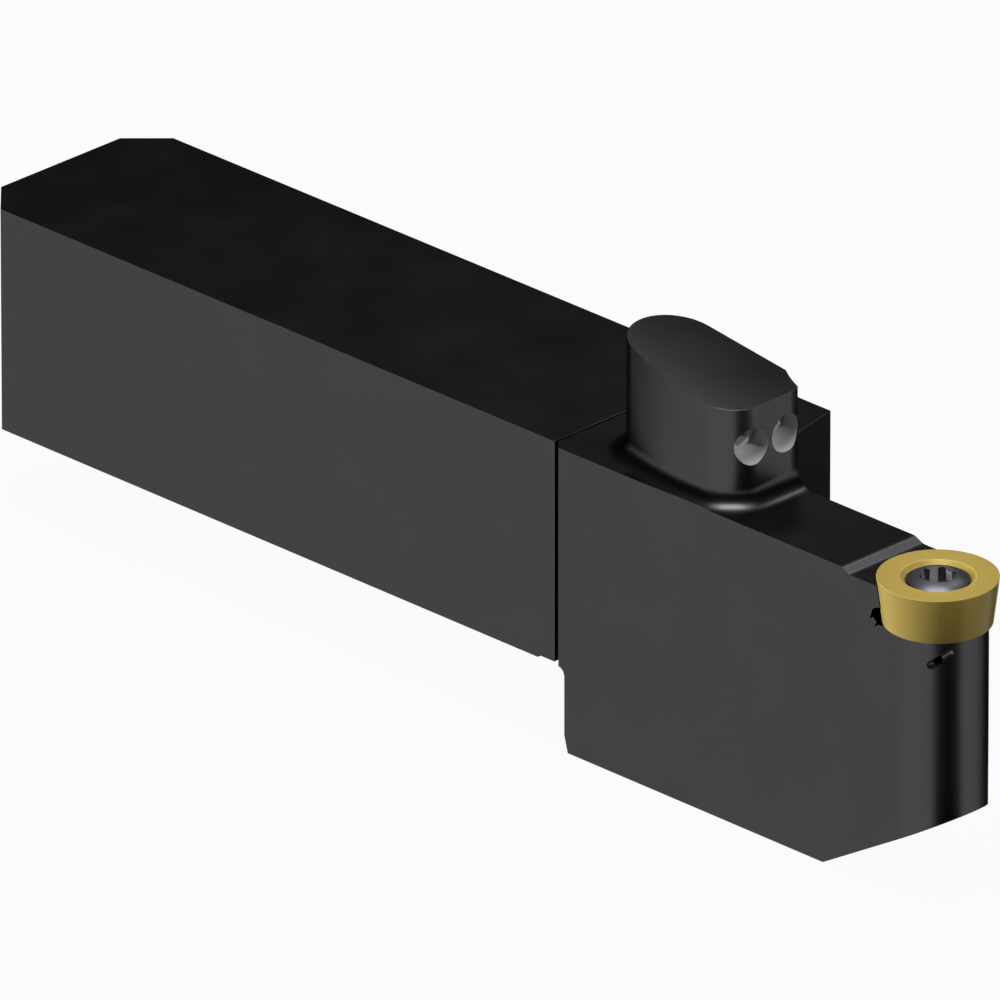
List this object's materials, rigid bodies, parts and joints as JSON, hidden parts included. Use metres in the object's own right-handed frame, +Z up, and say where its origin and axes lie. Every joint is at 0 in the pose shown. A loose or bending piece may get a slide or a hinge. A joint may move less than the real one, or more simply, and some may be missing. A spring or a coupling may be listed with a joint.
{
  "type": "turning tool holder",
  "caption": "Left-hand external turning tool holder with a square shank, a deep narrow-necked head, a round insert held by a screw, and a coolant tower with nozzles aimed at the insert.",
  "frame": {"origin": "centre of the coolant inlet's mouth, in the middle of the shank's rear face", "axes": "+X along the shank towards the insert, +Y towards the back of the tool, +Z up, the way the insert's rake face looks"},
  "size_m": [0.18, 0.0348, 0.0603],
  "materials": {
    "black_oxide_steel": "matt black oxide on milled alloy steel",
    "gold_coated_carbide": "satin gold titanium nitride coating on ground carbide",
    "dark_screw_steel": "satin turned steel",
    "nozzle_steel": "satin turned steel",
    "plug_steel": "black oxide on turned steel"
  },
  "bodies": {
    "root": {"holder_body": "black_oxide_steel", "round_insert": "gold_coated_carbide", "insert_screw": "dark_screw_steel", "coolant_nozzle_near": "nozzle_steel", "coolant_nozzle_back": "nozzle_steel", "lower_inlet_plug": "plug_steel", "riser_plug": "plug_steel"}
  },
  "joints": []
}
